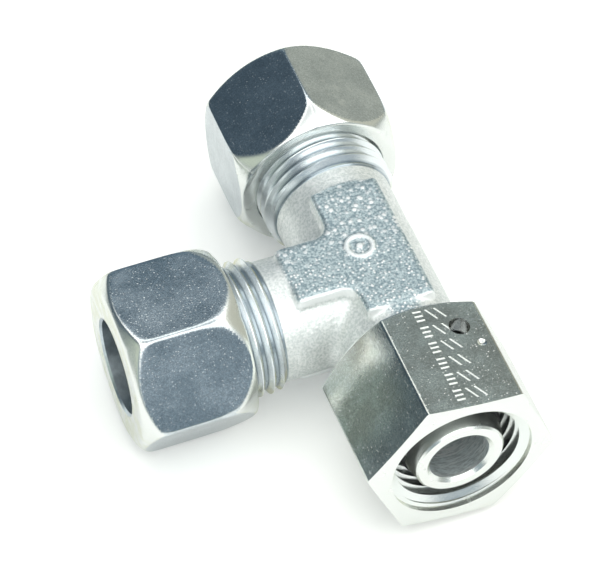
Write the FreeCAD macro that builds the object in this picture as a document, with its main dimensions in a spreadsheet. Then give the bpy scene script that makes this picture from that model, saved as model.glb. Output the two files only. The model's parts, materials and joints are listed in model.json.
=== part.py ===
import FreeCAD, Part
import os
import re

import Sketcher

# A swivel-nut run tee for 12 mm tube, 24 degree cone type, M18 x 1.5 threads.
# Two ends are compression ends with a cutting ring and a union nut. The third
# end is a cone spigot with an O-ring and a freely turning nut held by a wire.
#
# Frame: millimetres. The origin is the centre of the cone spigot's end face.
# +Y runs along the run, through the tee's centre, to the run's tube end.
# The branch leaves towards -X, and +Z is the upper flat of the forging.
#
# Every piece is drawn from the tee's centre: an arm's own axis is local +Z,
# and distances along it are distances from the centre.

Vector = FreeCAD.Vector

# ---------------------------------------------------------------- dimensions

DIMENSIONS = [
    # hexagons
    ("hex_across_flats", 22.0),
    ("hex_edge_round", 0.5),
    ("hex_corner_round", 0.3),
    ("run_hex_turn", 29.5),
    ("branch_hex_turn", 1.0),
    ("swivel_hex_turn", -7.8),
    # M18 x 1.5 thread, with room for both threads to turn freely
    ("thread_pitch", 1.5),
    ("thread_pitch_radius", 8.513),
    ("thread_flank_angle", 30.0),
    ("thread_groove_half_width", 0.425),
    ("outer_crest_radius", 8.95),
    ("outer_root_radius", 8.06),
    ("inner_crest_radius", 8.19),
    ("inner_root_radius", 9.06),
    # forged tee
    ("arm_radius", 8.0),
    ("arm_reach", 24.0),
    ("thread_start", 14.9),
    ("thread_end_chamfer", 0.9),
    ("pad_height", 8.25),
    ("pad_half_width", 4.65),
    ("pad_run_reach", 11.8),
    ("pad_swivel_reach", 9.2),
    ("pad_branch_reach", 12.2),
    ("pad_edge_round", 0.45),
    ("web_round", 2.0),
    # tube socket and 24 degree cone inside a compression end
    ("cone_half_angle", 12.0),
    ("cone_mouth_radius", 7.15),
    ("tube_socket_radius", 6.05),
    ("tube_stop", 17.0),
    ("flow_radius", 5.0),
    # cone spigot of the swivel end
    ("spigot_reach", 29.0),
    ("spigot_radius", 7.25),
    ("spigot_tip_radius", 5.87),
    ("spigot_tip_round", 0.25),
    ("spigot_shoulder", 11.0),
    ("spigot_shoulder_slope", 0.6),
    ("swivel_flow_radius", 4.0),
    ("swivel_flow_bevel", 0.45),
    ("swivel_flow_depth", 22.0),
    # O-ring in the cone's flank
    ("o_ring_at", 25.4),
    ("o_ring_section_radius", 0.75),
    ("o_ring_groove_floor", 5.3),
    ("o_ring_groove_half_width", 0.95),
    ("o_ring_gap", 0.01),
    # retaining wire and its channel
    ("wire_at", 17.1),
    ("wire_radius", 1.0),
    ("wire_ring_radius", 7.28),
    ("wire_clearance", 0.06),
    ("wire_arc", 336.0),
    ("wire_hole_offset", 2.93),
    ("wire_hole_radius", 1.35),
    ("wire_tail_length", 1.6),
    # swivel nut
    ("swivel_rear", 12.4),
    ("swivel_front", 29.5),
    ("swivel_bore_radius", 7.31),
    ("swivel_bore_end", 18.9),
    ("swivel_thread_end", 21.4),
    ("swivel_mouth_radius", 9.35),
    ("swivel_mouth_bevel", 0.7),
    ("swivel_rear_face_radius", 10.3),
    ("swivel_rear_slope", 0.55),
    ("swivel_front_face_radius", 11.0),
    ("swivel_front_slope", 0.1),
    # row of plain tick marks and a punch mark, pressed into one flat
    ("tick_depth", 0.1),
    ("tick_length", 1.15),
    ("tick_width", 0.28),
    ("tick_spacing", 0.72),
    ("tick_left", -2.0),
    ("tick_slant_left", -0.4),
    ("tick_slant_gap", 1.2),
    ("tick_slant_run", 1.0),
    ("tick_start", 13.5),
    ("tick_row_pitch", 2.62),
    ("tick_rows", 6),
    ("punch_offset", 4.65),
    ("punch_at", 20.3),
    ("punch_radius", 0.6),
    ("punch_depth", 0.25),
    # union nuts, drawn at rest: run down by hand, not yet tightened
    ("nut_length", 15.5),
    ("nut_rest_end", 35.375),
    ("nut_thread_face_radius", 10.9),
    ("nut_thread_face_slope", 1.65),
    ("nut_tube_face_radius", 10.4),
    ("nut_tube_face_slope", 0.79),
    ("nut_bore_radius", 6.25),
    ("nut_bore_length", 3.6),
    ("nut_bore_bevel", 0.3),
    ("nut_counterbore_radius", 8.0),
    ("nut_relief_radius", 9.12),
    ("nut_relief_start", 6.7),
    ("nut_relief_end", 8.2),
    ("nut_mouth_bevel", 0.9),
    # cutting rings, drawn at rest: pulled back with their nuts
    ("ring_pull_back", 3.375),
    ("ring_front", 19.9),
    ("ring_front_radius", 6.25),
    ("ring_body_radius", 7.43),
    ("ring_body_start", 25.5),
    ("ring_body_end", 27.05),
    ("ring_rear", 28.1),
    ("ring_rear_radius", 6.4),
    ("ring_lead_in", 0.12),
]

doc = FreeCAD.newDocument("SwivelRunTee")
sheet = doc.addObject("Spreadsheet::Sheet", "Dimensions")
for row, (alias, value) in enumerate(DIMENSIONS, start=1):
    sheet.set("A%d" % row, alias.replace("_", " "))
    sheet.set("B%d" % row, str(value))
    sheet.setAlias("B%d" % row, alias)
doc.recompute()


def expr(text):
    """Write a formula of bare dimension names as one that reads the sheet."""
    return re.sub(r"[a-z]+(_[a-z]+)+", lambda name: "Dimensions." + name.group(), text)


def number(text):
    """The present value of a formula of dimension names."""
    return float(sheet.evalExpression(expr(text)))


# ------------------------------------------------------------ drawing helpers


def new_body(name):
    body = doc.addObject("PartDesign::Body", name)
    body.Label = name
    return body


def origin_plane(body, role):
    return next(f for f in body.Origin.OriginFeatures if f.Role == role)


def new_sketch(body, name, plane):
    sketch = body.newObject("Sketcher::SketchObject", name)
    sketch.AttachmentSupport = (origin_plane(body, plane), [""])
    sketch.MapMode = "FlatFace"
    return sketch


def add_polygon(sketch, points):
    """A closed polygon, each corner held by two formulas from the sheet."""
    corners = [Vector(number(across), number(along), 0) for across, along in points]
    count = len(corners)
    first = sketch.GeometryCount
    for i in range(count):
        sketch.addGeometry(Part.LineSegment(corners[i], corners[(i + 1) % count]), False)
    for i in range(count):
        ends = (first + i, 2, first + (i + 1) % count, 1)
        sketch.addConstraint(Sketcher.Constraint("Coincident", *ends))
    for i in range(count):
        held = (-1, 1, first + i, 1)
        across = sketch.addConstraint(Sketcher.Constraint("DistanceX", *held, corners[i].x))
        along = sketch.addConstraint(Sketcher.Constraint("DistanceY", *held, corners[i].y))
        sketch.setExpression("Constraints[%d]" % across, expr(points[i][0]))
        sketch.setExpression("Constraints[%d]" % along, expr(points[i][1]))


def outline(body, name, plane, points):
    sketch = new_sketch(body, name, plane)
    add_polygon(sketch, points)
    return sketch


def turned(body, kind, name, plane, axis, points):
    """Material added (Revolution) or cut (Groove) by turning an outline."""
    sketch = outline(body, name + "_outline", plane, points)
    feature = body.newObject("PartDesign::" + kind, name)
    feature.Profile = sketch
    feature.ReferenceAxis = (sketch, [axis])
    feature.Angle = 360
    return feature


def swapped(points):
    """Outline points of an arm along +Y, redrawn for the arm along -X."""
    return [("-(" + along + ")", across) for across, along in points]


def thread_groove(centre, root, open_to):
    """Corner points of one V groove, cut from open_to down to root."""
    slope = "tan(thread_flank_angle)"
    at_root = "(thread_groove_half_width - abs(thread_pitch_radius - %s) * %s)" % (root, slope)
    at_open = "(thread_groove_half_width + abs(%s - thread_pitch_radius) * %s)" % (open_to, slope)
    return [
        (root, "%s - %s" % (centre, at_root)),
        (open_to, "%s - %s" % (centre, at_open)),
        (open_to, "%s + %s" % (centre, at_open)),
        (root, "%s + %s" % (centre, at_root)),
    ]


def helical_cut(body, name, plane, axis, points, height):
    sketch = outline(body, name + "_outline", plane, points)
    doc.recompute()
    cut = body.newObject("PartDesign::SubtractiveHelix", name)
    cut.Profile = sketch
    cut.ReferenceAxis = (sketch, [axis])
    cut.Mode = "pitch-height-angle"
    cut.setExpression("Pitch", expr("thread_pitch"))
    cut.setExpression("Height", expr(height))
    doc.recompute()
    return cut


def rounded(body, name, base, chosen, radius):
    """Round the edges of base whose test, chosen(edge), holds."""
    doc.recompute()
    names = ["Edge%d" % (i + 1) for i, e in enumerate(base.Shape.Edges) if chosen(e)]
    fillet = body.newObject("PartDesign::Fillet", name)
    fillet.Base = (base, names)
    fillet.setExpression("Radius", expr(radius))
    doc.recompute()
    return fillet


def span(edge):
    box = edge.BoundBox
    return box.XLength, box.YLength, box.ZLength


def place(piece, axes, turn="0"):
    """Stand a piece on the tee's centre, its local x, y, z along the given axes."""
    spin = FreeCAD.Rotation(Vector(0, 0, 1), number(turn))
    piece.Placement = FreeCAD.Placement(Vector(), FreeCAD.Rotation(*axes, "ZXY") * spin)
    piece.setExpression("Placement.Base.y", expr("spigot_reach"))


TEE_AXES = (Vector(1, 0, 0), Vector(0, 1, 0), Vector(0, 0, 1))
RUN_AXES = (Vector(1, 0, 0), Vector(0, 0, -1), Vector(0, 1, 0))
BRANCH_AXES = (Vector(0, 1, 0), Vector(0, 0, -1), Vector(-1, 0, 0))
SWIVEL_AXES = (Vector(1, 0, 0), Vector(0, 0, 1), Vector(0, -1, 0))

# Where the tee's thread groove first crosses the drawing plane, and where a
# union nut's does: half a pitch off, so that crests stand in grooves at rest.
GROOVE_START = "(thread_start - thread_pitch / 2)"
NUT_GROOVE_START = "(thread_start + thread_pitch)"

# ------------------------------------------------------------------ tee body


def arm_points():
    """Half outline of a compression arm, from the tee's centre outwards."""
    return [
        ("0", "0"),
        ("arm_radius", "0"),
        ("arm_radius", "thread_start"),
        ("outer_crest_radius", "thread_start + outer_crest_radius - arm_radius"),
        ("outer_crest_radius", "arm_reach - thread_end_chamfer"),
        ("outer_crest_radius - thread_end_chamfer", "arm_reach"),
        ("0", "arm_reach"),
    ]


def spigot_points():
    """Half outline of the swivel end, drawn along -Y from the tee's centre."""
    cone = "(spigot_radius - spigot_tip_radius) / tan(cone_half_angle)"
    return [
        ("0", "0"),
        ("0", "-spigot_reach"),
        ("spigot_tip_radius - spigot_tip_round", "-spigot_reach"),
        ("spigot_tip_radius", "-spigot_reach + spigot_tip_round"),
        ("spigot_radius", "-spigot_reach + " + cone),
        ("spigot_radius", "-spigot_shoulder - spigot_shoulder_slope"),
        ("arm_radius", "-spigot_shoulder"),
        ("arm_radius", "0"),
    ]


def tee_pad_points():
    """The T-shaped flat, seen from above."""
    return [
        ("-pad_branch_reach", "-pad_half_width"),
        ("-pad_half_width", "-pad_half_width"),
        ("-pad_half_width", "-pad_swivel_reach"),
        ("pad_half_width", "-pad_swivel_reach"),
        ("pad_half_width", "pad_run_reach"),
        ("-pad_half_width", "pad_run_reach"),
        ("-pad_half_width", "pad_half_width"),
        ("-pad_branch_reach", "pad_half_width"),
    ]


def socket_points():
    """Half outline of the space inside a compression arm."""
    cone_end = "arm_reach - (cone_mouth_radius - tube_socket_radius) / tan(cone_half_angle)"
    return [
        ("0", "0"),
        ("flow_radius", "0"),
        ("flow_radius", "tube_stop"),
        ("tube_socket_radius", "tube_stop"),
        ("tube_socket_radius", cone_end),
        ("cone_mouth_radius", "arm_reach"),
        ("0", "arm_reach"),
    ]


def swivel_passage_points():
    """Half outline of the passage through the cone spigot."""
    return [
        ("0", "0"),
        ("0", "-spigot_reach"),
        ("swivel_flow_radius + swivel_flow_bevel", "-spigot_reach"),
        ("swivel_flow_radius", "-spigot_reach + swivel_flow_bevel"),
        ("swivel_flow_radius", "-spigot_reach + swivel_flow_depth"),
        ("flow_radius", "-spigot_reach + swivel_flow_depth + 1"),
        ("flow_radius", "0"),
    ]


def o_ring_groove_points():
    return [
        ("o_ring_groove_floor", "-o_ring_at - o_ring_groove_half_width"),
        ("spigot_radius", "-o_ring_at - o_ring_groove_half_width"),
        ("spigot_radius", "-o_ring_at + o_ring_groove_half_width"),
        ("o_ring_groove_floor", "-o_ring_at + o_ring_groove_half_width"),
    ]


def wire_channel(body, plane):
    """Cut the round channel of the retaining wire, about the plane's normal."""
    ring = body.newObject("PartDesign::SubtractiveTorus", "wire_channel")
    ring.AttachmentSupport = (origin_plane(body, plane), [""])
    ring.MapMode = "FlatFace"
    ring.setExpression("Radius1", expr("wire_ring_radius"))
    ring.setExpression("Radius2", expr("wire_radius + wire_clearance"))
    ring.setExpression("AttachmentOffset.Base.z", expr("wire_at"))
    doc.recompute()


def make_tee_body():
    body = new_body("tee_body")
    turned(body, "Revolution", "run_arm", "XY_Plane", "V_Axis", arm_points())
    turned(body, "Revolution", "spigot", "XY_Plane", "V_Axis", spigot_points())
    turned(body, "Revolution", "branch_arm", "XY_Plane", "H_Axis", swapped(arm_points()))
    doc.recompute()

    pads = body.newObject("PartDesign::Pad", "pads")
    pads.Profile = outline(body, "pads_outline", "XY_Plane", tee_pad_points())
    pads.SideType = "Symmetric"
    pads.setExpression("Length", expr("2 * pad_height"))
    height = number("pad_height")
    half_width = number("pad_half_width")

    def in_web(edge):
        middle = edge.valueAt((edge.FirstParameter + edge.LastParameter) / 2)
        on_corner = abs(abs(middle.x) - abs(middle.y)) < 0.001
        return on_corner and middle.x < -half_width + 0.001 and span(edge)[2] > 0.5

    def on_pad_rim(edge):
        return abs(abs(edge.CenterOfMass.z) - height) < 0.001 and span(edge)[2] < 0.001

    web = rounded(body, "webs", pads, in_web, "web_round")
    rounded(body, "pad_rims", web, on_pad_rim, "pad_edge_round")

    turned(body, "Groove", "run_socket", "XY_Plane", "V_Axis", socket_points())
    turned(body, "Groove", "branch_socket", "XY_Plane", "H_Axis", swapped(socket_points()))
    turned(body, "Groove", "swivel_passage", "XY_Plane", "V_Axis", swivel_passage_points())
    turned(body, "Groove", "o_ring_groove", "XY_Plane", "V_Axis", o_ring_groove_points())
    doc.recompute()
    wire_channel(body, "XZ_Plane")

    groove = thread_groove(GROOVE_START, "outer_root_radius", "inner_root_radius")
    turns = "arm_reach - thread_start + 2 * thread_pitch"
    helical_cut(body, "run_thread", "XY_Plane", "V_Axis", groove, turns)
    branch = helical_cut(body, "branch_thread", "XY_Plane", "H_Axis", swapped(groove), turns)
    branch.Reversed = True
    doc.recompute()
    place(body, TEE_AXES)
    return body


# ---------------------------------------------------------------------- nuts


def hexagon(body, start, length, turn):
    """A hexagonal bar with its long edges slightly rounded."""
    prism = body.newObject("PartDesign::AdditivePrism", "hexagon")
    prism.AttachmentSupport = (origin_plane(body, "XY_Plane"), [""])
    prism.MapMode = "FlatFace"
    prism.Polygon = 6
    prism.AttachmentOffset = FreeCAD.Placement(Vector(), FreeCAD.Rotation(Vector(0, 0, 1), 1))
    prism.setExpression("Circumradius", expr("hex_across_flats / 2 / cos(30)"))
    prism.setExpression("Height", expr(length))
    prism.setExpression("AttachmentOffset.Base.z", expr(start))
    prism.setExpression("AttachmentOffset.Rotation.Angle", expr(turn))
    doc.recompute()

    def along_bar(edge):
        across_x, across_y, _ = span(edge)
        return across_x < 0.001 and across_y < 0.001

    return rounded(body, "hex_edges", prism, along_bar, "hex_edge_round")


def soften_corners(body, cut):
    """Round the curved edges where the turned corners meet the flats."""
    shortest = 0.3

    def on_turned_corner(edge):
        across_x, across_y, along = span(edge)
        return along > shortest and across_x + across_y > shortest

    return rounded(body, "corner_edges", cut, on_turned_corner, "hex_corner_round")


def corner_cut(body, name, face, face_radius, slope):
    """Turn the hexagon's corners off at one end. slope is length over radius.

    face is the end's distance along the arm, and a slope with a minus sign
    leans back from an end that faces outwards.
    """
    beyond = "(hex_across_flats * 0.7)"
    return turned(body, "Groove", name, "XZ_Plane", "V_Axis", [
        (face_radius, face),
        (beyond, face),
        (beyond, "%s + %s * (%s - %s)" % (face, slope, beyond, face_radius)),
    ])


def make_union_nut(name, axes, turn):
    body = new_body(name)
    inner_end = "(nut_rest_end - nut_length)"
    taper_start = "nut_rest_end - nut_bore_length - (nut_counterbore_radius - nut_bore_radius)"
    hexagon(body, inner_end, "nut_length", turn)
    corner_cut(body, "thread_end_corners", inner_end, "nut_thread_face_radius", "nut_thread_face_slope")
    corners = corner_cut(
        body, "tube_end_corners", "nut_rest_end", "nut_tube_face_radius", "-nut_tube_face_slope"
    )
    soften_corners(body, corners)
    turned(body, "Groove", "bore", "XZ_Plane", "V_Axis", [
        ("0", inner_end),
        ("inner_crest_radius + nut_mouth_bevel", inner_end),
        ("inner_crest_radius", inner_end + " + nut_mouth_bevel"),
        ("inner_crest_radius", "nut_rest_end - nut_relief_end"),
        ("nut_relief_radius", "nut_rest_end - nut_relief_end"),
        ("nut_relief_radius", "nut_rest_end - nut_relief_start"),
        ("nut_counterbore_radius", "nut_rest_end - nut_relief_start"),
        ("nut_counterbore_radius", taper_start),
        ("nut_bore_radius", "nut_rest_end - nut_bore_length"),
        ("nut_bore_radius", "nut_rest_end - nut_bore_bevel"),
        ("nut_bore_radius + nut_bore_bevel", "nut_rest_end"),
        ("0", "nut_rest_end"),
    ])
    doc.recompute()
    groove = thread_groove(NUT_GROOVE_START, "inner_root_radius", "outer_root_radius")
    groove_end = "nut_rest_end - nut_relief_start - thread_pitch / 2"
    helical_cut(body, "thread", "XZ_Plane", "V_Axis", groove, groove_end + " - " + NUT_GROOVE_START)
    place(body, axes)
    return body


def press_ticks(body):
    """Press rows of three bars and two slanted strokes into the +Y flat."""
    group = new_sketch(body, "tick_outlines", "XZ_Plane")
    group.setExpression("AttachmentOffset.Base.z", expr("-hex_across_flats / 2"))
    for i in range(3):
        low = "tick_start + %d * tick_spacing" % i
        add_polygon(group, [
            ("tick_left", low),
            ("tick_left + tick_length", low),
            ("tick_left + tick_length", low + " + tick_width"),
            ("tick_left", low + " + tick_width"),
        ])
    for i in range(2):
        left = "tick_slant_left + %d * tick_slant_gap" % i
        high = "tick_start + 2 * tick_spacing + tick_width"
        add_polygon(group, [
            (left, "tick_start"),
            (left + " + tick_width", "tick_start"),
            (left + " + tick_width + tick_slant_run", high),
            (left + " + tick_slant_run", high),
        ])
    doc.recompute()
    row = body.newObject("PartDesign::Pocket", "tick_row")
    row.Profile = group
    row.Reversed = True
    row.setExpression("Length", expr("tick_depth"))
    rows = body.newObject("PartDesign::LinearPattern", "tick_rows")
    rows.Originals = [row]
    rows.Direction = (group, ["V_Axis"])
    rows.setExpression("Length", expr("tick_row_pitch * (tick_rows - 1)"))
    rows.setExpression("Occurrences", expr("tick_rows"))
    body.Tip = rows
    doc.recompute()


def press_punch_mark(body):
    """A small round dimple beside the wire hole."""
    ball = "((punch_radius ^ 2 + punch_depth ^ 2) / 2 / punch_depth)"
    mark = body.newObject("PartDesign::SubtractiveSphere", "punch_mark")
    mark.AttachmentSupport = (origin_plane(body, "XZ_Plane"), [""])
    mark.MapMode = "FlatFace"
    mark.setExpression("Radius", expr(ball))
    mark.setExpression("AttachmentOffset.Base.x", expr("punch_offset"))
    mark.setExpression("AttachmentOffset.Base.y", expr("punch_at"))
    mark.setExpression("AttachmentOffset.Base.z", expr("punch_depth - hex_across_flats / 2 - " + ball))
    doc.recompute()


def make_swivel_nut():
    body = new_body("swivel_nut")
    mouth_end = "swivel_front - swivel_mouth_bevel"
    hexagon(body, "swivel_rear", "swivel_front - swivel_rear", "0")
    corners = corner_cut(
        body, "rear_corners", "swivel_rear", "swivel_rear_face_radius", "swivel_rear_slope"
    )
    soften_corners(body, corners)
    corner_cut(
        body, "front_corners", "swivel_front", "swivel_front_face_radius", "-swivel_front_slope"
    )
    turned(body, "Groove", "bore", "XZ_Plane", "V_Axis", [
        ("0", "swivel_rear"),
        ("swivel_bore_radius", "swivel_rear"),
        ("swivel_bore_radius", "swivel_bore_end"),
        ("inner_root_radius", "swivel_bore_end + inner_root_radius - swivel_bore_radius"),
        ("inner_root_radius", "swivel_thread_end + thread_pitch / 2"),
        ("inner_crest_radius", "swivel_thread_end + thread_pitch / 2"),
        ("inner_crest_radius", mouth_end + " - (swivel_mouth_radius - inner_crest_radius) / 2"),
        ("swivel_mouth_radius", mouth_end),
        ("swivel_mouth_radius", "swivel_front"),
        ("0", "swivel_front"),
    ])
    doc.recompute()
    wire_channel(body, "XY_Plane")

    hole = body.newObject("PartDesign::SubtractiveCylinder", "wire_hole")
    hole.AttachmentSupport = (origin_plane(body, "XZ_Plane"), [""])
    hole.MapMode = "FlatFace"
    hole.setExpression("Radius", expr("wire_hole_radius"))
    hole.setExpression("Height", expr("hex_across_flats / 2"))
    hole.setExpression("AttachmentOffset.Base.x", expr("wire_hole_offset"))
    hole.setExpression("AttachmentOffset.Base.y", expr("wire_at"))
    hole.setExpression("AttachmentOffset.Base.z", expr("-hex_across_flats / 2 - wire_ring_radius + 1"))
    doc.recompute()

    press_ticks(body)
    press_punch_mark(body)

    groove = thread_groove("swivel_thread_end", "inner_root_radius", "outer_root_radius")
    turns = "swivel_front - swivel_thread_end + thread_pitch"
    helical_cut(body, "thread", "XZ_Plane", "V_Axis", groove, turns)
    place(body, SWIVEL_AXES, "swivel_hex_turn")
    return body


# ------------------------------------------------- rings, O-ring and the wire


def make_cutting_ring(name, axes):
    body = new_body(name)
    shift = " + ring_pull_back"
    turned(body, "Revolution", "ring", "XZ_Plane", "V_Axis", [
        ("tube_socket_radius", "ring_front" + shift),
        ("ring_front_radius", "ring_front" + shift),
        ("ring_body_radius", "ring_body_start" + shift),
        ("ring_body_radius", "ring_body_end" + shift),
        ("ring_rear_radius", "ring_rear" + shift),
        ("tube_socket_radius + ring_lead_in", "ring_rear" + shift),
        ("tube_socket_radius", "ring_rear - ring_lead_in" + shift),
    ])
    doc.recompute()
    place(body, axes)
    return body


def make_o_ring():
    seal = doc.addObject("Part::Torus", "cone_o_ring")
    seal.Label = "cone_o_ring"
    seal.setExpression("Radius1", expr("o_ring_groove_floor + o_ring_section_radius + o_ring_gap"))
    seal.setExpression("Radius2", expr("o_ring_section_radius"))
    place(seal, SWIVEL_AXES)
    seal.setExpression("Placement.Base.y", expr("spigot_reach - o_ring_at"))
    return seal


def make_retaining_wire():
    """A round wire bent to a ring, its tail standing up in the nut's hole."""
    start = "asin(wire_hole_offset / wire_ring_radius)"
    rise = "cos(%s) * wire_ring_radius" % start

    ring = doc.addObject("Part::Torus", "wire_ring")
    ring.setExpression("Radius1", expr("wire_ring_radius"))
    ring.setExpression("Radius2", expr("wire_radius"))
    ring.setExpression("Angle3", expr("wire_arc"))
    turn = FreeCAD.Rotation(Vector(0, 0, 1), 90 - number(start))
    ring.Placement = FreeCAD.Placement(Vector(), turn)
    ring.setExpression("Placement.Base.z", expr("wire_at"))

    elbow = doc.addObject("Part::Sphere", "wire_elbow")
    elbow.setExpression("Radius", expr("wire_radius"))
    tail = doc.addObject("Part::Cylinder", "wire_tail")
    tail.setExpression("Radius", expr("wire_radius"))
    tail.setExpression("Height", expr("wire_tail_length"))
    tail.Placement = FreeCAD.Placement(Vector(), FreeCAD.Rotation(Vector(1, 0, 0), -90))
    for piece in (elbow, tail):
        piece.setExpression("Placement.Base.x", expr("wire_hole_offset"))
        piece.setExpression("Placement.Base.y", expr(rise))
        piece.setExpression("Placement.Base.z", expr("wire_at"))

    wire = doc.addObject("Part::MultiFuse", "retaining_wire")
    wire.Label = "retaining_wire"
    wire.Shapes = [ring, elbow, tail]
    doc.recompute()
    place(wire, SWIVEL_AXES, "swivel_hex_turn")
    return wire


# ------------------------------------------------------------ build and write

pieces = [
    make_tee_body(),
    make_union_nut("run_nut", RUN_AXES, "run_hex_turn"),
    make_union_nut("branch_nut", BRANCH_AXES, "branch_hex_turn"),
    make_cutting_ring("run_cutting_ring", RUN_AXES),
    make_cutting_ring("branch_cutting_ring", BRANCH_AXES),
    make_swivel_nut(),
    make_retaining_wire(),
    make_o_ring(),
]
doc.recompute()

for item in doc.Objects:
    if "Invalid" in item.State or "Error" in item.State:
        raise RuntimeError("%s did not build: %s" % (item.Name, item.State))
for piece in pieces:
    shape = piece.Shape
    if shape.isNull() or not shape.isValid() or len(shape.Solids) != 1:
        raise RuntimeError("%s has no single valid solid" % piece.Label)

os.makedirs("parts", exist_ok=True)
for piece in pieces:
    piece.Shape.exportStep("parts/%s.step" % piece.Label)
    print("%-22s %9.2f mm3" % (piece.Label, piece.Shape.Volume))
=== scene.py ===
"""A zinc-plated compression tee, with two union nuts and a swivel nut, on a pale table top."""

import json
import math

import bmesh
import bpy
import numpy as np
from mathutils import Matrix, Vector, noise
from mathutils.bvhtree import BVHTree
from mathutils.geometry import barycentric_transform


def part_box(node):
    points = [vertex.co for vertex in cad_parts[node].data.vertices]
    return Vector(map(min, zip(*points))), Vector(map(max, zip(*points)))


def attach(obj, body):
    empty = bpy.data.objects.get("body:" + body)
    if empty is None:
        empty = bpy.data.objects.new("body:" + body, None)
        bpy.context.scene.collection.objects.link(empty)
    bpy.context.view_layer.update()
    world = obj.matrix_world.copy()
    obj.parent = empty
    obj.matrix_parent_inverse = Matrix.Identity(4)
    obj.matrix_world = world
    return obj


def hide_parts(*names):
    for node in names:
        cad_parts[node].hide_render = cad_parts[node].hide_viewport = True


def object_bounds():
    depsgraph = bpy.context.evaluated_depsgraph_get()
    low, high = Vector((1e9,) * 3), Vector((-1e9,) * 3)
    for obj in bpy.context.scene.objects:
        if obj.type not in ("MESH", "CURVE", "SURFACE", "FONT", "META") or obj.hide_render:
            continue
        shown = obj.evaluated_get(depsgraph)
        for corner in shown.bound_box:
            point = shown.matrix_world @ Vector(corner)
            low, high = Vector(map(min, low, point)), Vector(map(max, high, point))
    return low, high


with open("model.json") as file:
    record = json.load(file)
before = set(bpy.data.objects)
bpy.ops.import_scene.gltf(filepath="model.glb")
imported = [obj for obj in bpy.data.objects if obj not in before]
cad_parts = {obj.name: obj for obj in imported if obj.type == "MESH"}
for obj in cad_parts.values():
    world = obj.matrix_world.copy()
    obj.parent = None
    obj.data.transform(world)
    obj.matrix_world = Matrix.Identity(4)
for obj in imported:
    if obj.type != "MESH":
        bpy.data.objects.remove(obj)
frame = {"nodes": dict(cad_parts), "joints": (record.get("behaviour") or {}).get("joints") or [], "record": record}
size_at_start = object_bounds()

MM = 0.001


# ---------------------------------------------------------------- places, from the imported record
def mount(name):
    """The place of one mount of the record, in the row frame."""
    return next(Vector(m["pos_m"]) for m in frame["record"]["mounts"] if m["name"] == name)


def joint(name):
    """The origin and the axis of one joint of the record, in the row frame."""
    found = next(j for j in frame["joints"] if j["name"] == name)
    return Vector(found["pos_m"]), Vector(found["axis"])


# Reaches are measured along an arm from the tee's centre, and radii from the axis of an arm or a nut.
RUN_WAY = Vector((0, 1, 0))
BRANCH_WAY = Vector((-1, 0, 0))
SWIVEL_WAY = Vector((0, -1, 0))
PAD_TOP = mount("body_upper_flat")
TEE_CENTRE = Vector((PAD_TOP.x, PAD_TOP.y, 0.0))
PAD_HEIGHT = PAD_TOP.z
PAD_REACH = 12.2 * MM
ARM_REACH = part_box("tee_body")[1].y - TEE_CENTRE.y
FORGED_REACH = ARM_REACH - 10.4 * MM
SHOULDER_REACH = 10.9 * MM
FORGED_ENDS = ((RUN_WAY, FORGED_REACH), (BRANCH_WAY, FORGED_REACH), (SWIVEL_WAY, SHOULDER_REACH))
NECK_START = 12.0 * MM
THREAD_START = 14.9 * MM
NECK_RADIUS = 8.04 * MM
NECK_FLOOR = 6.5 * MM
THREAD_ROOT = 7.9 * MM
BORE_RADIUS = 5.0 * MM
BORE_LIMIT = 6.2 * MM
FREE_ARM_REACH = 8.2 * MM
SEAM_OVERLAP = 0.12 * MM

HALF_FLATS = 11.0 * MM
RIDGE_RADIUS = 12.6 * MM
THREAD_FACE_RADIUS = 10.9 * MM
THREAD_FACE_SLOPE = 1.65
TUBE_FACE_RADIUS = 10.4 * MM
TUBE_FACE_SLOPE = 0.79
NUT_OUTSIDE = 10.2 * MM
NUT_THREAD_ROOT = 9.2 * MM
NUT_COUNTERBORE = 8.0 * MM
PRESSED_DEPTH = 0.3 * MM
PRESSED_LIMIT = 11.9 * MM

SAME_POINT = 0.0005 * MM
FINE_VOXEL = 0.195 * MM
MARK_CENTRE = (-1.7 * MM, 1.2 * MM)
MARK_RADIUS = 1.7 * MM
MARK_HEIGHT = 0.24 * MM


# ---------------------------------------------------------------- shader helpers
def put(tree, kind, inputs=None, **settings):
    """Add one shader node; an input is a number, a colour or another node's output."""
    made = tree.nodes.new(kind)
    for name, value in settings.items():
        setattr(made, name, value)
    for key, value in (inputs or {}).items():
        if isinstance(value, bpy.types.NodeSocket):
            tree.links.new(value, made.inputs[key])
        else:
            made.inputs[key].default_value = value
    return made


def calc(tree, operation, first, second=0.0, third=0.0):
    """The result of one operation on up to three values."""
    made = put(tree, "ShaderNodeMath", {0: first, 1: second, 2: third}, operation=operation)
    return made.outputs[0]


def ease(tree, value, low, high, start=0.0, end=1.0):
    """A smooth step of value between low and high, from start to end."""
    limits = {"Value": value, "From Min": low, "From Max": high, "To Min": start, "To Max": end}
    made = put(tree, "ShaderNodeMapRange", limits, interpolation_type="SMOOTHSTEP")
    return made.outputs["Result"]


def tinted(tree, share, first, second):
    """A colour between first and second."""
    made = put(tree, "ShaderNodeMix", {0: share, 6: first, 7: second}, data_type="RGBA")
    return made.outputs[2]


def grain(tree, place, per_mm, detail=2.0, roughness=0.5):
    """Noise with per_mm features to the millimetre, between 0 and 1."""
    inputs = {"Vector": place, "Scale": per_mm, "Detail": detail, "Roughness": roughness}
    return put(tree, "ShaderNodeTexNoise", inputs).outputs["Fac"]


def rgb(red, green, blue):
    """An opaque colour."""
    return (red, green, blue, 1.0)


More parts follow.
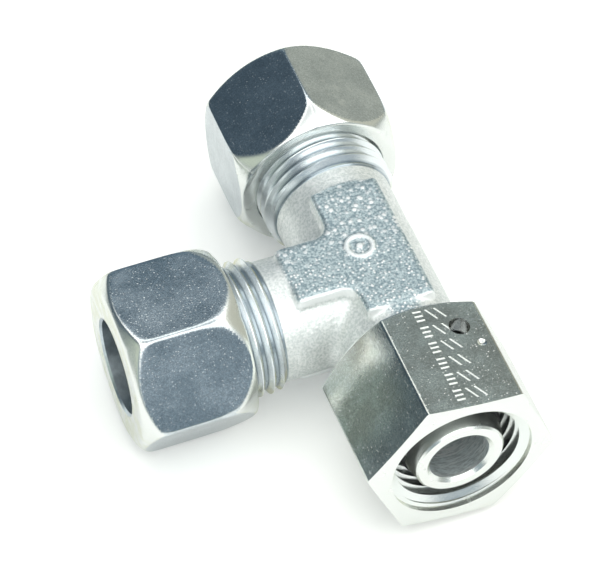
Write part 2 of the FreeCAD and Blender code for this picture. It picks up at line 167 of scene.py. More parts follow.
def new_material(name):
    """An empty node material, its tree, and the object's own coordinates in millimetres."""
    material = bpy.data.materials.new(name)
    material.use_nodes = True
    tree = material.node_tree
    tree.nodes.clear()
    place = put(tree, "ShaderNodeTexCoord").outputs["Object"]
    scaled = put(tree, "ShaderNodeVectorMath", {0: place, "Scale": 1000.0}, operation="SCALE")
    return material, tree, scaled.outputs[0]


def finish_material(tree, colour, metal, rough, normal):
    """The surface and the output of an object's material."""
    inputs = {"Base Color": colour, "Metallic": metal, "Roughness": rough, "Normal": normal}
    surface = put(tree, "ShaderNodeBsdfPrincipled", inputs)
    put(tree, "ShaderNodeOutputMaterial", {"Surface": surface.outputs[0]})


def bumped(tree, height, amplitude_mm, normal=None):
    """The shading normal of a height between 0 and 1, with the given height in millimetres."""
    inputs = {"Height": height, "Distance": amplitude_mm * MM, "Strength": 1.0}
    if normal is not None:
        inputs["Normal"] = normal
    return put(tree, "ShaderNodeBump", inputs).outputs[0]


# ---------------------------------------------------------------- materials
def plated(
    name,
    light,
    dark,
    rough,
    grain_per_mm,
    grain_mm,
    contrast=0.16,
    specks=0.0,
    specks_per_mm=3.2,
    stretch=None,
):
    """Zinc plating: grey metal with cloudy patches and a fine grain, and specks where wanted."""
    material, tree, place = new_material(name)
    if stretch is not None:
        place = put(tree, "ShaderNodeVectorMath", {0: place, 1: stretch}, operation="MULTIPLY").outputs[0]
    cloud = grain(tree, place, 0.2, 3.0, 0.6)
    fine = grain(tree, place, grain_per_mm, 2.0, 0.7)
    colour = tinted(tree, ease(tree, cloud, 0.35, 0.65), dark, light)
    shade = ease(tree, fine, 0.36, 0.64, 1.0 - contrast, 1.0 + contrast)
    grey = put(tree, "ShaderNodeCombineColor", {0: shade, 1: shade, 2: shade}).outputs[0]
    inputs = {0: 1.0, 6: colour, 7: grey}
    mixed = put(tree, "ShaderNodeMix", inputs, data_type="RGBA", blend_type="MULTIPLY")
    colour = mixed.outputs[2]
    metal = 1.0
    base = None
    if specks:
        speck = bright_specks(tree, place, specks_per_mm, specks)
        colour = tinted(tree, speck, colour, rgb(1.0, 1.0, 1.0))
        colour = tinted(tree, rubbed_patches(tree, place), colour, rgb(0.86, 0.89, 0.90))
        metal = calc(tree, "MULTIPLY_ADD", speck, -0.45, 1.0)
        base = bumped(tree, speck, 0.016)
    normal = bumped(tree, fine, grain_mm, base)
    unevenness = calc(tree, "MULTIPLY_ADD", cloud, 0.12, rough - 0.06)
    finish_material(tree, colour, metal, unevenness, normal)
    return material


def bright_specks(tree, place, per_mm, strength):
    """Small round specks of differing brightness, up to strength."""
    cells = put(tree, "ShaderNodeTexVoronoi", {"Vector": place, "Scale": per_mm})
    near = ease(tree, cells.outputs["Distance"], 0.1, 0.4, 1.0, 0.0)
    chance = put(tree, "ShaderNodeSeparateColor", {0: cells.outputs["Color"]}).outputs[0]
    return calc(tree, "MULTIPLY", near, ease(tree, chance, 0.35, 1.0, 0.0, strength))


def rubbed_patches(tree, place):
    """Faint swirling patches, a few millimetres wide."""
    inputs = {"Vector": place, "Scale": 0.55, "Detail": 5.0, "Roughness": 0.6, "Distortion": 1.6}
    swirl = put(tree, "ShaderNodeTexNoise", inputs).outputs["Fac"]
    return ease(tree, swirl, 0.56, 0.72, 0.0, 0.4)


def painted_groove_shade(tree, place, axis):
    """Painted shade of a thread about an axis through the tee's centre: 0 in its grooves, 1 on its crests."""
    centre = tuple(TEE_CENTRE / MM)
    offset = put(tree, "ShaderNodeVectorMath", {0: place, 1: centre}, operation="SUBTRACT").outputs[0]
    inputs = {0: offset, 1: tuple(axis)}
    along = put(tree, "ShaderNodeVectorMath", inputs, operation="PROJECT").outputs[0]
    inputs = {0: offset, 1: along}
    radial = put(tree, "ShaderNodeVectorMath", inputs, operation="SUBTRACT").outputs[0]
    radius = put(tree, "ShaderNodeVectorMath", {0: radial}, operation="LENGTH").outputs[1]
    return ease(tree, radius, 8.02, 8.45)


def turned_metal(name, colour_light, colour_tint, rough, thread_axis=None, metal=1.0):
    """Machined and plated metal: bright, with a tint that grows at a slant, and painted shade in the thread
    grooves.
    """
    material, tree, place = new_material(name)
    cloud = grain(tree, place, 0.5, 2.0, 0.5)
    facing = put(tree, "ShaderNodeLayerWeight", {"Blend": 0.35}).outputs["Facing"]
    film = calc(tree, "MULTIPLY", ease(tree, facing, 0.35, 0.85), ease(tree, cloud, 0.35, 0.6))
    colour = tinted(tree, film, colour_light, colour_tint)
    if thread_axis is not None:
        unshaded_crest = painted_groove_shade(tree, place, thread_axis)
        # painted shade: the thread grooves are coloured dark slate, and the crests keep the metal's colour
        colour = tinted(tree, unshaded_crest, rgb(0.36, 0.42, 0.46), colour)
    fine = grain(tree, place, 5.0, 2.0, 0.6)
    normal = bumped(tree, fine, 0.008)
    finish_material(tree, colour, metal, calc(tree, "MULTIPLY_ADD", cloud, 0.14, rough), normal)
    return material


def bead_grains_and_glints(tree, place, per_mm, share):
    """Round grains, 0 between them and 1 on them; share is how many cells hold one. The forging bumps them as
    grain and paints them white as glints.
    """
    cells = put(tree, "ShaderNodeTexVoronoi", {"Vector": place, "Scale": per_mm, "Randomness": 1.0})
    disc = ease(tree, cells.outputs["Distance"], 0.18, 0.46, 1.0, 0.0)
    chance = put(tree, "ShaderNodeSeparateColor", {0: cells.outputs["Color"]}).outputs[0]
    return calc(tree, "MULTIPLY", ease(tree, chance, 1.0 - share, 1.25 - share), disc)


def pad_cover(tree, across, from_middle, height):
    """1 on the raised pads and 0 off them, for distances in millimetres from the tee's centre."""
    top, reach = PAD_HEIGHT / MM, PAD_REACH / MM
    cover = ease(tree, height, top - 0.7, top - 0.3)
    cover = calc(tree, "MULTIPLY", cover, ease(tree, across, -reach - 0.3, -reach + 0.3))
    return calc(tree, "MULTIPLY", cover, ease(tree, from_middle, reach - 0.3, reach + 0.3, 1.0, 0.0))


def forged_metal():
    """Blasted and plated forging skin: grains on the pads, bumped as grain and painted white as glints, satin on
    the sides, and painted highlights on the pads' rims that face -Y and on the raised mark.
    """
    material, tree, place = new_material("zinc_plated_forging_skin")
    parts = put(tree, "ShaderNodeSeparateXYZ", {0: place})
    height = calc(tree, "ABSOLUTE", parts.outputs[2])
    top = PAD_HEIGHT / MM
    from_middle = calc(tree, "SUBTRACT", parts.outputs[1], TEE_CENTRE.y / MM)
    on_pad = pad_cover(tree, parts.outputs[0], from_middle, height)
    grit = grain(tree, place, 3.2, 3.0, 0.6)
    sandy = ease(tree, grit, 0.38, 0.64)
    run_side = ease(tree, from_middle, -3.0, 6.0)
    coarse = calc(tree, "MULTIPLY", bead_grains_and_glints(tree, place, 1.1, 0.85), run_side)
    fine = calc(tree, "MULTIPLY", bead_grains_and_glints(tree, place, 2.0, 0.75), ease(tree, run_side, 0.0, 1.0, 1.0, 0.5))
    bead_grain_and_glint = calc(tree, "MAXIMUM", coarse, fine)
    plain = tinted(tree, sandy, rgb(0.66, 0.70, 0.69), rgb(0.88, 0.90, 0.89))
    # painted glints: the grains are coloured white, faintly on the sides and fully on the pads, and are also
    # bumped as real grain
    plain = tinted(tree, calc(tree, "MULTIPLY", bead_grain_and_glint, 0.4), plain, rgb(1.0, 1.0, 1.0))
    base = tinted(tree, sandy, rgb(0.25, 0.33, 0.37), rgb(0.58, 0.67, 0.69))
    speckled = tinted(tree, bead_grain_and_glint, base, rgb(1.0, 1.0, 1.0))
    colour = tinted(tree, on_pad, plain, speckled)
    facing = put(tree, "ShaderNodeSeparateXYZ", {0: put(tree, "ShaderNodeNewGeometry").outputs["Normal"]})
    # painted highlight: near the pads' edges, faces that turn towards -Y are coloured near-white, as if lit
    by_edge = ease(tree, height, top - 1.6, top - 1.0)
    rim = calc(tree, "MULTIPLY", by_edge, ease(tree, facing.outputs[1], -0.25, -0.6))
    # painted highlight: the raised mark on the pads is coloured near-white
    raised = ease(tree, height, top + 0.05, top + 0.18, 0.0, 0.75)
    # bright is the painted highlight of the rims and the raised mark, which is also made less metallic
    bright = calc(tree, "MAXIMUM", calc(tree, "MULTIPLY", rim, 0.9), raised)
    colour = tinted(tree, bright, colour, rgb(0.96, 0.98, 0.98))
    rough_normal = bumped(tree, grit, 0.012, bumped(tree, bead_grain_and_glint, 0.03))
    soft_normal = bumped(tree, grit, 0.032, bumped(tree, bead_grain_and_glint, 0.02))
    normal = put(
        tree, "ShaderNodeMix", {0: on_pad, 4: soft_normal, 5: rough_normal}, data_type="VECTOR"
    ).outputs[1]
    rough = calc(tree, "MULTIPLY_ADD", on_pad, -0.08, 0.46)
    metal = calc(tree, "MULTIPLY_ADD", bright, -0.3, 0.6)
    finish_material(tree, colour, metal, rough, normal)
    return material


def rubber():
    """Black, slightly mottled seal rubber."""
    material, tree, place = new_material("black_seal_rubber")
    mottle = grain(tree, place, 1.5, 2.0, 0.5)
    colour = tinted(tree, mottle, rgb(0.012, 0.013, 0.014), rgb(0.03, 0.031, 0.033))
    normal = bumped(tree, grain(tree, place, 9.0), 0.01)
    finish_material(tree, colour, 0.0, calc(tree, "MULTIPLY_ADD", mottle, 0.2, 0.42), normal)
    return material


flat_finish = plated(
    "zinc_plate_on_flats",
    rgb(0.66, 0.71, 0.74),
    rgb(0.54, 0.59, 0.62),
    rough=0.16,
    grain_per_mm=4.6,
    grain_mm=0.006,
    contrast=0.12,
    specks=0.42,
)
swivel_finish = plated(
    "zinc_plate_on_swivel_flats",
    rgb(0.68, 0.72, 0.68),
    rgb(0.56, 0.57, 0.53),
    rough=0.18,
    grain_per_mm=4.6,
    grain_mm=0.007,
    contrast=0.12,
    specks=0.6,
    specks_per_mm=2.7,
)
inner_finish = plated(
    "zinc_plate_in_bores",
    rgb(0.92, 0.95, 0.95),
    rgb(0.76, 0.81, 0.82),
    rough=0.48,
    grain_per_mm=2.2,
    grain_mm=0.03,
    contrast=0.2,
    stretch=(0.4, 2.0, 0.4),
)
nut_bore_finish = plated(
    "zinc_plate_in_nut_bores",
    rgb(0.60, 0.67, 0.71),
    rgb(0.46, 0.52, 0.56),
    rough=0.3,
    grain_per_mm=1.6,
    grain_mm=0.004,
    contrast=0.06,
)
pressed_finish = plated(
    "pressed_marks",
    rgb(0.98, 0.99, 0.98),
    rgb(0.93, 0.95, 0.93),
    rough=0.62,
    grain_per_mm=5.0,
    grain_mm=0.01,
    contrast=0.04,
)
turned_finish = turned_metal("zinc_plate_turned", rgb(0.86, 0.88, 0.86), rgb(0.77, 0.79, 0.64), 0.18)
thread_finish = turned_metal("zinc_plate_thread", rgb(0.84, 0.87, 0.86), rgb(0.74, 0.72, 0.56), 0.14)
run_thread_finish = turned_metal(
    "zinc_plate_run_thread",
    rgb(0.86, 0.90, 0.92),
    rgb(0.78, 0.75, 0.44),
    rough=0.15,
    thread_axis=(0, 1, 0),
    metal=0.88,
)
branch_thread_finish = turned_metal(
    "zinc_plate_branch_thread",
    rgb(0.86, 0.90, 0.93),
    rgb(0.78, 0.75, 0.44),
    rough=0.18,
    thread_axis=(1, 0, 0),
    metal=0.8,
)
hard_finish = plated("hardened_steel", rgb(0.52, 0.52, 0.50), rgb(0.40, 0.40, 0.40), 0.3, 4.0, 0.005)
wire_finish = plated("spring_steel", rgb(0.42, 0.43, 0.44), rgb(0.3, 0.31, 0.32), 0.25, 4.0, 0.005)
forged_finish = forged_metal()
rubber_finish = rubber()


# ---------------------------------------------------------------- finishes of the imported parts
def read_rows(source, field, width, kind=np.float64):
    """One field of all of a mesh's parts, as rows of a table."""
    values = np.zeros(len(source) * width, kind)
    source.foreach_get(field, values)
    return values.reshape(-1, width)


def face_table(mesh):
    """Centres and normals of a mesh's faces, one row each."""
    return read_rows(mesh.polygons, "center", 3), read_rows(mesh.polygons, "normal", 3)


def paint(obj, finishes, chosen):
    """Give a mesh its finishes; chosen holds one finish number for each face."""
    obj.data.materials.clear()
    for finish in finishes:
        obj.data.materials.append(finish)
    obj.data.polygons.foreach_set("material_index", chosen.astype(np.int32))
    obj.data.update()


def with_packed_normals(made, node, inherited):
    """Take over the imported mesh's exact normals on the first faces, wherever they lie on it."""
    source = frame["nodes"][node].data
    source.calc_loop_triangles()
    pieces = list(source.loop_triangles)
    places = [v.co for v in source.vertices]
    exact = [n.vector.copy() for n in source.corner_normals]
    finder = BVHTree.FromPolygons(places, [tuple(t.vertices) for t in pieces])
    mesh = made.data
    own = [n.vector.copy() for n in mesh.corner_normals]
    for face in mesh.polygons[:inherited]:
        _, _, index, gap = finder.find_nearest(face.center)
        if gap > SAME_POINT:
            continue
        corners = [places[v] for v in pieces[index].vertices]
        corner_normals = [exact[k] for k in pieces[index].loops]
        for k in face.loop_indices:
            place = mesh.vertices[mesh.loops[k].vertex_index].co
            gaps = [(place - c).length for c in corners]
            best = gaps.index(min(gaps))
            found = corner_normals[best]
            if gaps[best] > 0.002 * MM:
                found = barycentric_transform(place, *corners, *corner_normals)
            if found.length > 0.5 and found.normalized().dot(face.normal) > 0.5:
                own[k] = found.normalized()
    mesh.normals_split_custom_set(own)
    return made


def along_axis(points, origin, axis):
    """Place along an axis, distance from it, and the vector from it, for rows of points."""
    offset = points - np.array(origin)
    along = offset @ np.array(axis)
    radial = offset - np.outer(along, np.array(axis))
    return along, np.linalg.norm(radial, axis=1), radial


def nut_faces(obj, origin, axis, flat):
    """Flats, turned faces, thread and pressed marks of one nut."""
    centres, normals = face_table(obj.data)
    _, radius, radial = along_axis(centres, origin, axis)
    square = np.abs(normals @ np.array(axis)) < 0.12
    plane = np.einsum("ij,ij->i", normals, radial)
    inward = plane < 0.0
    outside = (radius > NUT_OUTSIDE) & (plane > 0.0)
    sunk = (plane < HALF_FLATS - 0.02 * MM) & (plane > HALF_FLATS - PRESSED_DEPTH)
    chosen = np.zeros(len(centres))
    chosen[inward & (radius > NUT_COUNTERBORE) & (radius < NUT_THREAD_ROOT)] = 1
    chosen[outside & square] = 2
    chosen[inward & (radius < NUT_COUNTERBORE + 0.05 * MM)] = 4
    if obj.name == "swivel_nut":
        chosen[outside & square & sunk & (radius < PRESSED_LIMIT)] = 3
    paint(obj, [turned_finish, thread_finish, flat, pressed_finish, nut_bore_finish], chosen)


def chamfer(beyond, inwards, slope):
    """Signed distance outside a cone that widens inwards from the rim of a nut's end face."""
    return (beyond * slope - inwards) / math.hypot(slope, 1.0)


def nut_skin(place, start, end, turn, angle):
    """Signed distance outside a union nut's bar, chamfers and end faces, all edges softened."""
    height, radius = place
    half_flats = HALF_FLATS / MM
    corner = np.abs((angle - turn + math.pi / 6) % (math.pi / 3) - math.pi / 6)
    flats = [radius * np.cos(corner) - half_flats, radius * np.cos(math.pi / 3 - corner) - half_flats]
    thread_side = chamfer(radius - THREAD_FACE_RADIUS / MM, height - start, THREAD_FACE_SLOPE)
    tube_side = chamfer(radius - TUBE_FACE_RADIUS / MM, end - height, TUBE_FACE_SLOPE)
    faces = [start - height, height - end]
    by_ridge = np.clip(corner / (math.pi / 6), 0, 1) ** 4
    by_chamfer = np.exp(-((thread_side / 1.1) ** 2)) + 0.6 * np.exp(-((tube_side / 0.8) ** 2))
    soft = 0.08 + 0.2 * by_ridge * by_chamfer
    total = 0.0
    for part in flats + [thread_side, tube_side] + faces:
        total = total + np.exp(np.clip(part / soft, -60, 60))
    return soft * np.log(total)


def profile_slopes(rims, low, high):
    """Ray angles that walk evenly along a nut's outline, and closely round its edges."""
    middle = (low + high) / 2
    outline = [
        (rims[0], low),
        (THREAD_FACE_RADIUS / MM, low),
        (RIDGE_RADIUS / MM, low + 3.0),
        (RIDGE_RADIUS / MM, high - 1.8),
        (TUBE_FACE_RADIUS / MM, high),
        (rims[1], high),
    ]
    corners = [math.atan2(height - middle, radius) for radius, height in outline]
    counts = (10, 26, 34, 20, 14)
    parts = [np.linspace(*corners[k : k + 2], counts[k], endpoint=False) for k in range(len(counts))]
    return np.concatenate(parts + [corners[-1:]])


def nut_outside(low, high, turn, rims):
    """Angles round a nut, and the height and radius of each point on its softened outside, in mm."""
    middle = (low + high) / 2
    steps = np.linspace(-1, 1, 36, endpoint=False)
    sector = math.pi / 6 * np.sin(steps * math.pi / 2)
    angles = np.concatenate([turn + k * math.pi / 3 + sector for k in range(6)])
    angle, slope = np.meshgrid(angles, profile_slopes(rims, low, high))
    near, far = np.full(angle.shape, 4.0), np.full(angle.shape, 20.0)
    for _ in range(34):
        half = (near + far) / 2
        place = (middle + half * np.sin(slope), half * np.cos(slope))
        outside = nut_skin(place, low, high, turn, angle) > 0
        far = np.where(outside, half, far)
        near = np.where(outside, near, half)
    distance = (near + far) / 2
    height, radius = middle + distance * np.sin(slope), distance * np.cos(slope)
    height[0], height[-1] = low, high
    radius[0], radius[-1] = rims
    return angles, height, radius


def hexagon_turn(node, origin, axis, side):
    """The angle about a nut's axis from the given side to the middle of one flat."""
    centres, normals = face_table(frame["nodes"][node].data)
    _, radius, radial = along_axis(centres, origin, axis)
    on_bar = (radius > THREAD_FACE_RADIUS - 0.1 * MM) & (np.abs(normals @ np.array(axis)) < 0.01)
    first = np.argmax(on_bar)
    outward = normals[first] * np.sign(normals[first] @ radial[first])
    return math.atan2(outward @ np.array(axis.cross(side)), outward @ np.array(side))


def packed_inside(node, origin, axis):
    """A packed nut without its outer faces, and the heights of its two ends."""
    shape = joined_copy(node)
    heights = [(v.co - origin).dot(axis) for v in shape.verts]
    start, end = min(heights), max(heights)
    outer = []
    for face in shape.faces:
        centre = face.calc_center_median() - origin
        height = centre.dot(axis)
        level = abs(face.normal.dot(axis)) > 0.999
        at_end = min(abs(height - start), abs(height - end)) < 0.001 * MM
        if (level and at_end) or (centre - axis * height).length > NUT_OUTSIDE:
            outer.append(face)
    bmesh.ops.delete(shape, geom=outer, context="FACES")
    loose = [v for v in shape.verts if not v.link_faces]
    bmesh.ops.delete(shape, geom=loose, context="VERTS")
    return shape, start, end


def mouth_edges(shape, origin, axis, middle):
    """The open edges of a nut's inside, those at its start and those at its end."""
    mouths = [[], []]
    for edge in shape.edges:
        if len(edge.link_faces) == 1:
            at_end = (edge.verts[0].co - origin).dot(axis) > middle
            mouths[at_end].append(edge)
    return mouths


def rim_radius(edges, origin, axis):
    """The radius, in mm, at which a nut's end face starts, just outside its mouth."""
    offsets = [v.co - origin for e in edges for v in e.verts]
    return max((o - axis * o.dot(axis)).length for o in offsets) / MM + 0.12


def softened_nut(node, joint_name, flat):
    """A union nut with worn, rounded corners outside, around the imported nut's own inside."""
    origin, axis = joint(joint_name)
    side = Vector((0, 0, 1))
    other = axis.cross(side)
    turn = hexagon_turn(node, origin, axis, side)
    shape, start, end = packed_inside(node, origin, axis)
    inherited = len(shape.faces)
    mouths = mouth_edges(shape, origin, axis, (start + end) / 2)
    rims = [rim_radius(edges, origin, axis) for edges in mouths]
    angles, heights, radii = nut_outside(start / MM, end / MM, turn, rims)
    ways = [side * math.cos(angle) + other * math.sin(angle) for angle in angles]
    rows = []
    for row_heights, row_radii in zip(heights, radii):
        row = []
        for height, radius, way in zip(row_heights, row_radii, ways):
            row.append(shape.verts.new(origin + (axis * height + way * radius) * MM))
        rows.append(row)
    for lower, upper in zip(rows, rows[1:]):
        for j in range(len(ways)):
            after = (j + 1) % len(ways)
            shape.faces.new((lower[j], lower[after], upper[after], upper[j]))
    for row, edges, way in ((rows[0], mouths[0], -axis), (rows[-1], mouths[1], axis)):
        ring = [shape.edges.get(pair) for pair in zip(row, row[1:] + row[:1])]
        bmesh.ops.triangle_fill(shape, edges=edges + ring, normal=way, use_beauty=True)
    made = with_packed_normals(to_object(node + "_softened", shape, flat, 35), node, inherited)
    nut_faces(made, origin, axis, flat)
    return made


nut_faces(frame["nodes"]["swivel_nut"], *joint("swivel_nut_turn"), swivel_finish)
for node, finish in (
    ("run_cutting_ring", hard_finish),
    ("branch_cutting_ring", hard_finish),
    ("retaining_wire", wire_finish),
    ("cone_o_ring", rubber_finish),
):
    paint(frame["nodes"][node], [finish], np.zeros(len(frame["nodes"][node].data.polygons)))


# ---------------------------------------------------------------- the tee's body
def joined_copy(node):
    """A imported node's mesh with its split corners joined."""
    made = bmesh.new()
    made.from_mesh(frame["nodes"][node].data)
    bmesh.ops.remove_doubles(made, verts=made.verts, dist=SAME_POINT)
    return made


def trim(shape, point, outward):
    """Cut away what lies beyond a plane and close the cut."""
    everything = shape.verts[:] + shape.edges[:] + shape.faces[:]
    cut = bmesh.ops.bisect_plane(
        shape,
        geom=everything,
        plane_co=point,
        plane_no=outward,
        clear_outer=True,
        dist=0.0001 * MM,
    )
    rim = [e for e in cut["geom_cut"] if isinstance(e, bmesh.types.BMEdge)]
    bmesh.ops.triangle_fill(shape, edges=rim, normal=outward, use_beauty=True)


def to_object(name, shape, finish, sharp_angle):
    """A new object from a bmesh, smooth except across its sharp edges."""
    bmesh.ops.recalc_face_normals(shape, faces=shape.faces)
    mesh = bpy.data.meshes.new(name)
    shape.to_mesh(mesh)
    shape.free()
    made = placed(name, mesh, finish)
    mesh.set_sharp_from_angle(angle=math.radians(sharp_angle))
    return made


def placed(name, mesh, finish):
    """A new, smoothly shaded object in the scene."""
    for face in mesh.polygons:
        face.use_smooth = True
    mesh.materials.clear()
    mesh.materials.append(finish)
    made = bpy.data.objects.new(name, mesh)
    bpy.context.scene.collection.objects.link(made)
    return made


def turned_end(name, way, start, on_thread):
    """One machined end of the tee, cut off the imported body."""
    shape = joined_copy("tee_body")
    trim(shape, TEE_CENTRE + way * start, -way)
    inherited = len(shape.faces)
    made = with_packed_normals(to_object(name, shape, turned_finish, 28), "tee_body", inherited)
    centres, normals = face_table(made.data)
    reach, radius, radial = along_axis(centres, TEE_CENTRE, way)
    tilt = np.abs(normals @ np.array(way))
    inward = np.einsum("ij,ij->i", normals, radial) < 0.0
    on_neck = (tilt < 0.2) & (radius > NECK_FLOOR) & (radius < NECK_RADIUS)
    chosen = np.zeros(len(centres))
    chosen[(reach > THREAD_START) & (radius > THREAD_ROOT) & (tilt < 0.98)] = 1
    chosen[inward & (radius < BORE_LIMIT) & (tilt < 0.5)] = 2
    chosen[on_neck & (reach > NECK_START) & (reach < THREAD_START)] = 3
    paint(made, [turned_finish, on_thread, inner_finish, forged_finish], chosen)
    return made


def smoothed(points, edges, free, rounds):
    """Points moved towards the mean of their neighbours, each by its own share, a few times."""
    count = np.bincount(edges.ravel(), minlength=len(points))[:, None]
    first, second = edges[:, 0], edges[:, 1]
    for _ in range(rounds):
        total = np.zeros_like(points)
        for axis in range(3):
            total[:, axis] = np.bincount(first, points[second, axis], minlength=len(points))
            total[:, axis] += np.bincount(second, points[first, axis], minlength=len(points))
        points = points + 0.5 * free[:, None] * (total / count - points)
    return points


def step(value, low, high):
    """A smooth step of an array, 0 below low and 1 above high."""
    share = np.clip((value - low) / (high - low), 0, 1)
    return share * share * (3 - 2 * share)


def off_the_ends(offset):
    """1 on the forging, falling to 0 at its three cut ends, for places in millimetres."""
    share = 1.0
    for way, reach in FORGED_ENDS:
        share = share * step(reach / MM - offset @ np.array(way), 0.1, 0.6)
    return share


def outer_skin(offset):
    """1 on the outside of the forging, 0 on its bores, for places in millimetres."""
    inner = BORE_RADIUS / MM
    by_run = step(np.hypot(offset[:, 0], offset[:, 2]), inner + 0.6, inner + 1.4)
    by_branch = step(np.hypot(offset[:, 1], offset[:, 2]), inner + 0.6, inner + 1.4)
    free = FREE_ARM_REACH / MM
    on_branch = (offset[:, 0] < -free) * by_branch
    on_run = (np.abs(offset[:, 1]) > free) * by_run
    return np.maximum(by_run * by_branch, np.maximum(on_branch, on_run))


def skin_height(offset, normals):
    """Height of the forging's grain and raised mark over its plain shape, in millimetres."""
    fine = np.array([noise.noise(Vector(p) * 2.2) for p in offset])
    coarse = np.array([noise.noise(Vector(p) * 1.2 + Vector((7, 3, 5))) for p in offset])
    swell = np.array([noise.noise(Vector(p) * 0.28 + Vector((1, 9, 2))) for p in offset])
    on_pad = step(np.abs(offset[:, 2]), PAD_HEIGHT / MM - 0.5, PAD_HEIGHT / MM - 0.1)
    rough = 0.014 - 0.005 * on_pad
    height = rough * fine + 0.5 * rough * coarse + 0.08 * swell * (1 - on_pad)
    across, along = MARK_CENTRE
    from_mark = np.hypot(offset[:, 0] - across / MM, offset[:, 1] - along / MM)
    ring = 1 - step(np.abs(from_mark - MARK_RADIUS / MM), 0.15, 0.45)
    dot = 1 - step(from_mark, 0.25, 0.6)
    on_top = (offset[:, 2] > 0) * step(normals[:, 2], 0.6, 0.9)
    height = height + MARK_HEIGHT / MM * np.maximum(ring, dot) * on_top
    return height * outer_skin(offset) * off_the_ends(offset)


def even_blank(voxel):
    """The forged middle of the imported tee, cut off its ends, as a fine and even mesh."""
    shape = joined_copy("tee_body")
    for way, reach in FORGED_ENDS:
        trim(shape, TEE_CENTRE + way * (reach + SEAM_OVERLAP), way)
    blank = to_object("forged_centre_blank", shape, forged_finish, 30)
    change = blank.modifiers.new("even_grid", "REMESH")
    change.mode = "VOXEL"
    change.voxel_size = voxel
    change.use_smooth_shade = True
    graph = bpy.context.evaluated_depsgraph_get()
    mesh = bpy.data.meshes.new_from_object(blank.evaluated_get(graph))
    bpy.data.objects.remove(blank)
    return mesh


def move_points(mesh, points):
    """Put a mesh's vertices at new places."""
    mesh.vertices.foreach_set("co", points.ravel())
    mesh.update()


def forged_centre(voxel):
    """The forged middle of the tee: rounded pads and webs under a blasted, grainy skin."""
    mesh = even_blank(voxel)
    points = read_rows(mesh.vertices, "co", 3)
    edges = read_rows(mesh.edges, "vertices", 2, np.int64)
    offset = (points - np.array(TEE_CENTRE)) / MM
    free = off_the_ends(offset) * (0.15 + 0.85 * outer_skin(offset))
    # 28 rounds suit a 0.17 mm mesh, and fewer give a coarser one the same softness
    rounds = round(28 * (0.17 * MM / voxel) ** 2)
    points = smoothed(points, edges, free, rounds)
    move_points(mesh, points)
    normals = read_rows(mesh.vertex_normals, "vector", 3)
    offset = (points - np.array(TEE_CENTRE)) / MM
    move_points(mesh, points + normals * skin_height(offset, normals)[:, None] * MM)
    mesh.name = "forged_centre"
    return placed("forged_centre", mesh, forged_finish)


for node, joint_name, body in (
    ("run_nut", "run_nut_turn", "run_union_nut"),
    ("branch_nut", "branch_nut_turn", "branch_union_nut"),
):
    nut = softened_nut(node, joint_name, flat_finish)
    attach(nut, body)
    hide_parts(node)

tee_pieces = [
    forged_centre(FINE_VOXEL),
    turned_end("run_threaded_end", RUN_WAY, FORGED_REACH, run_thread_finish),
    turned_end("branch_threaded_end", BRANCH_WAY, FORGED_REACH, branch_thread_finish),
    turned_end("swivel_cone_end", SWIVEL_WAY, SHOULDER_REACH, turned_finish),
]
for piece in tee_pieces:
    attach(piece, "tee")
    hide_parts("tee_body")


# ---------------------------------------------------------------- floor, light and camera
def make_floor(height):
    """A wide, plain, pale table top that can be looked through from below; in reflections it is painted dark far
    from the tee.
    """
    half = 1.5
    mesh = bpy.data.meshes.new("table_top")
    corners = [(-half, -half, height), (half, -half, height), (half, half, height), (-half, half, height)]
    mesh.from_pydata(corners, [], [(0, 1, 2, 3)])
    made = bpy.data.objects.new("table_top", mesh)
    bpy.context.scene.collection.objects.link(made)
    material, tree, place = new_material("pale_table")
    mottle = grain(tree, place, 0.02, 2.0)
    colour = tinted(tree, mottle, rgb(0.90, 0.91, 0.90), rgb(0.93, 0.93, 0.92))
    # painted reflection: from 110 to 220 mm out the table is coloured dark slate, but only as seen in reflections
    reach = put(tree, "ShaderNodeVectorMath", {0: place}, operation="LENGTH").outputs[1]
    mirrored = put(tree, "ShaderNodeLightPath").outputs["Is Glossy Ray"]
    far = calc(tree, "MULTIPLY", ease(tree, reach, 110.0, 220.0), mirrored)
    colour = tinted(tree, far, colour, rgb(0.22, 0.25, 0.25))
    paper = put(tree, "ShaderNodeBsdfDiffuse", {"Color": colour})
    seen = put(tree, "ShaderNodeLightPath").outputs["Is Camera Ray"]
    glow = put(tree, "ShaderNodeEmission", {"Color": rgb(0.22, 0.22, 0.215), "Strength": seen})
    surface = put(tree, "ShaderNodeAddShader", {0: paper.outputs[0], 1: glow.outputs[0]})
    clear = put(tree, "ShaderNodeBsdfTransparent")
    below = put(tree, "ShaderNodeNewGeometry").outputs["Backfacing"]
    both = put(tree, "ShaderNodeMixShader", {0: below, 1: surface.outputs[0], 2: clear.outputs[0]})
    put(tree, "ShaderNodeOutputMaterial", {"Surface": both.outputs[0]})
    mesh.materials.append(material)
    return made


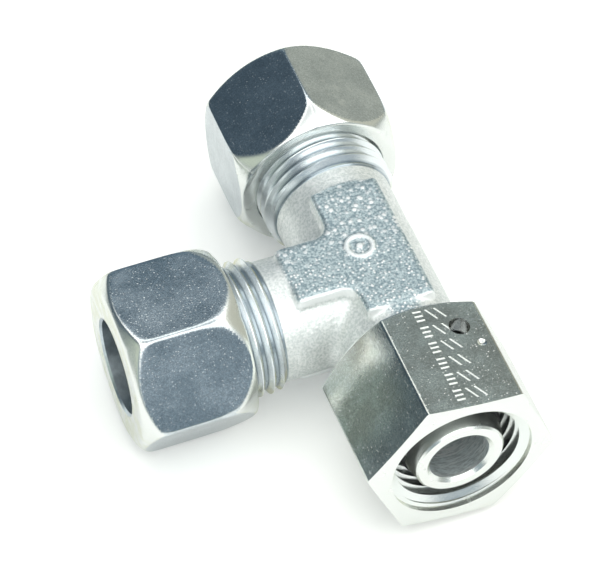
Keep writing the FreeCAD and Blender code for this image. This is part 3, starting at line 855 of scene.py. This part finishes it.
def make_world():
    """A bright ceiling over the table, softer straight overhead, and a dim slate-blue room around."""
    world = bpy.data.worlds.new("studio")
    bpy.context.scene.world = world
    world.use_nodes = True
    tree = world.node_tree
    tree.nodes.clear()
    way = put(tree, "ShaderNodeTexCoord").outputs["Generated"]
    parts = put(tree, "ShaderNodeSeparateXYZ", {0: way})
    across, away, up = parts.outputs[0], parts.outputs[1], parts.outputs[2]
    dark_slate = rgb(0.08, 0.115, 0.145)
    mid_slate = rgb(0.145, 0.21, 0.26)
    warm_grey = rgb(0.52, 0.53, 0.45)
    room = tinted(tree, ease(tree, across, -0.6, 0.3), dark_slate, mid_slate)
    room = tinted(tree, ease(tree, across, 0.2, 0.85), room, warm_grey)
    low = ease(tree, up, 0.35, 0.75, 1.0, 0.0)
    left = ease(tree, across, -0.2, -0.8)
    beside = calc(tree, "MULTIPLY", left, ease(tree, away, 0.0, 0.45, 1.0, 0.0))
    room = tinted(tree, calc(tree, "MULTIPLY", low, beside), room, rgb(0.56, 0.63, 0.53))
    front = ease(tree, away, -0.3, -0.9)
    room = tinted(tree, front, room, rgb(0.24, 0.31, 0.36))
    ceiling_edge = calc(tree, "MULTIPLY_ADD", away, -0.35, up)
    ceiling_edge = calc(tree, "MULTIPLY_ADD", across, -0.1, ceiling_edge)
    leftward = calc(tree, "MAXIMUM", calc(tree, "MULTIPLY_ADD", across, -1.0, -0.12), 0.0)
    ceiling_edge = calc(tree, "MULTIPLY_ADD", leftward, -0.55, ceiling_edge)
    ceiling = ease(tree, ceiling_edge, 0.57, 0.62)
    light = tinted(tree, ceiling, room, rgb(2.05, 2.08, 2.03))
    ray = put(tree, "ShaderNodeLightPath")
    # only what mirrors the sky straight to the camera sees the softer part
    first_bounce = calc(tree, "LESS_THAN", ray.outputs["Ray Depth"], 2.5)
    mirrored = calc(tree, "MULTIPLY", ray.outputs["Is Glossy Ray"], first_bounce)
    overhead = calc(tree, "MULTIPLY", ease(tree, up, 0.86, 0.97), mirrored)
    light = tinted(tree, overhead, light, rgb(0.78, 0.82, 0.83))
    seen = tinted(tree, ray.outputs["Is Camera Ray"], light, rgb(0.97, 0.98, 0.97))
    sky = put(tree, "ShaderNodeBackground", {"Color": seen, "Strength": 1.0})
    put(tree, "ShaderNodeOutputWorld", {"Surface": sky.outputs[0]})


def make_camera(low, high):
    """A long lens that looks down on the tee from the swivel nut's side."""
    azimuth, elevation, roll = math.radians(-19.97), math.radians(50.59), math.radians(-0.848)
    distance = 395.94 * MM
    off_centre = Vector((2.28, 0.25, 0.0)) * MM
    target = (low + high) / 2 + off_centre
    back = Vector(
        (
            math.sin(azimuth) * math.cos(elevation),
            -math.cos(azimuth) * math.cos(elevation),
            math.sin(elevation),
        )
    )
    right = Vector((math.cos(azimuth), math.sin(azimuth), 0.0))
    up = back.cross(right)
    turned_right = right * math.cos(roll) + up * math.sin(roll)
    turned_up = up * math.cos(roll) - right * math.sin(roll)
    axes = Matrix((turned_right, turned_up, back)).transposed()
    lens = bpy.data.cameras.new("camera")
    lens.lens = 183.6
    lens.sensor_width = 36.0
    lens.clip_start = 0.01
    made = bpy.data.objects.new("camera", lens)
    made.matrix_world = Matrix.Translation(target + back * distance) @ axes.to_4x4()
    bpy.context.scene.collection.objects.link(made)
    bpy.context.scene.camera = made


make_floor(size_at_start[0].z)
make_world()
make_camera(*size_at_start)
bpy.context.scene.view_settings.view_transform = "Standard"
